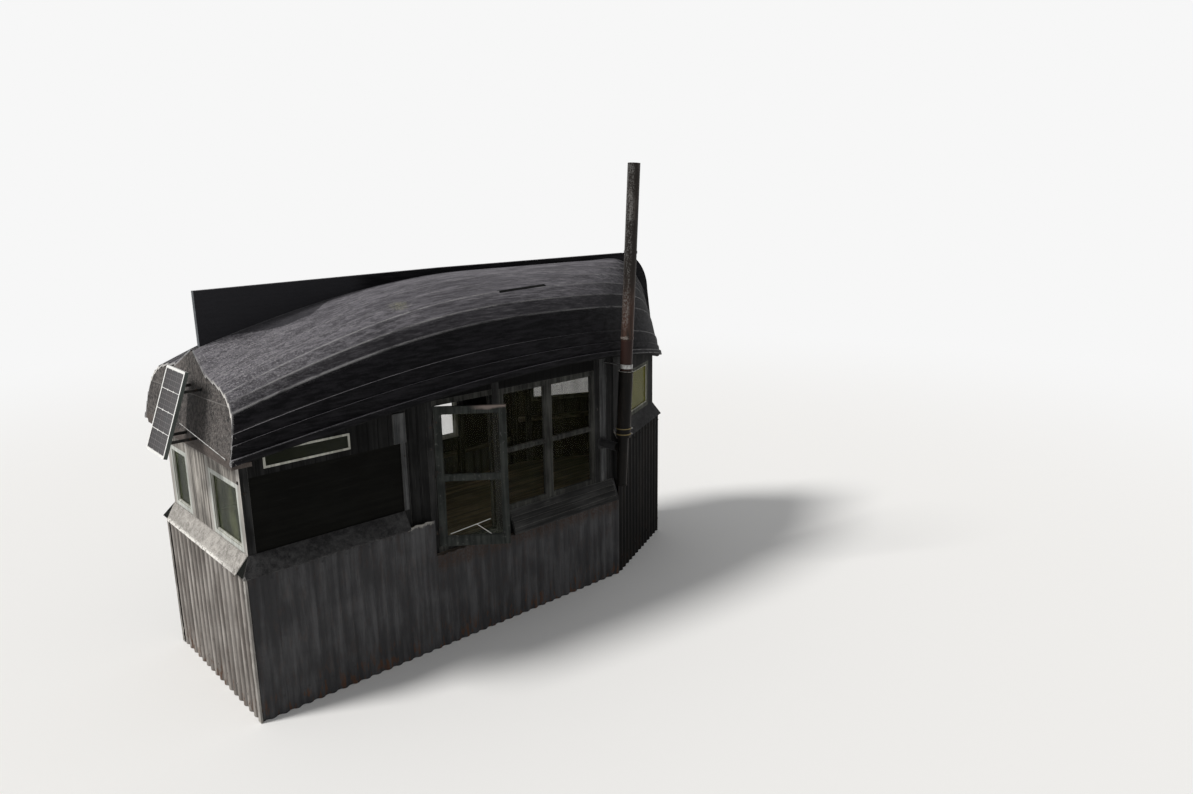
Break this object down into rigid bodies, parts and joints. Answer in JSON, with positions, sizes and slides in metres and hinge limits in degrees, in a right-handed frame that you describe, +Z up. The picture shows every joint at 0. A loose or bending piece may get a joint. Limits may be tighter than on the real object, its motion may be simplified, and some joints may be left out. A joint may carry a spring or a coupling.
{
  "type": "garden shed",
  "caption": "Hollow shed with a corrugated skirt, board walls, glazed hinged door and windows, roofed by an upturned clinker-built boat, with a leaning flue.",
  "frame": {"origin": "underside of the centre bearer, midway along the long wall between the plan's X zero lines, on the lowest ground", "axes": "+X towards the bow, -Y the front wall with the door, +Z up"},
  "size_m": [7.1406, 2.9644, 5.3041],
  "materials": {
    "tarred_hull": "brushed tar paint, matte with worn grey tops",
    "frame_timber": "weathered sawn timber",
    "grey_sheet": "worn dark grey paint on corrugated sheet",
    "weathered_board": "worn grey-black stain on boards",
    "black_panel": "flat black board",
    "joinery": "dark grey paint",
    "pale_joinery": "worn pale paint",
    "pane": "clear window glass",
    "flue_iron": "sooty black with rust",
    "steel_fittings": "dull galvanised steel",
    "solar_cells": "dark cells behind a clear face, pale frame"
  },
  "bodies": {
    "shed": {"bilge_strakes": "tarred_hull", "bottom_strakes": "tarred_hull", "bow_boards": "weathered_board", "bow_peg": "steel_fittings", "bow_sheets": "grey_sheet", "bow_windows": "pale_joinery", "dark_panel": "black_panel", "door_frame": "joinery", "eaves_block": "frame_timber", "eaves_plates": "frame_timber", "floor_deck": "frame_timber", "floor_frame": "frame_timber", "flue_pipe": "flue_iron", "flue_sleeve": "flue_iron", "flue_strap": "steel_fittings", "front_boards": "weathered_board", "front_lights": "joinery", "front_sheets": "grey_sheet", "garboard_strakes": "tarred_hull", "ground_sills": "frame_timber", "gunwales": "tarred_hull", "hinge_pins": "steel_fittings", "keel_and_stem": "tarred_hull", "rear_boards": "weathered_board", "rear_sheet": "grey_sheet", "rear_windows": "pale_joinery", "sheer_strakes": "tarred_hull", "sheet_rails": "frame_timber", "skirt_boards": "weathered_board", "slot_window": "pale_joinery", "solar_brackets": "steel_fittings", "solar_panel": "solar_cells", "solar_stay": "steel_fittings", "stern_boards": "weathered_board", "stern_sheet": "grey_sheet", "stern_tie": "frame_timber", "stern_windows": "pale_joinery", "topside_strakes": "tarred_hull", "transom": "tarred_hull", "wall_posts": "frame_timber", "window_glass": "pane"},
    "door": {"door_leaf": "joinery", "door_glass": "pane", "hinge_knuckles": "steel_fittings"}
  },
  "joints": [
    {"name": "door_hinge", "type": "hinge", "parent": "shed", "child": "door", "pos_m": [-0.847, -1.039, 1.963], "axis": [0, 0, -1], "range_deg": [-38, 82]}
  ]
}
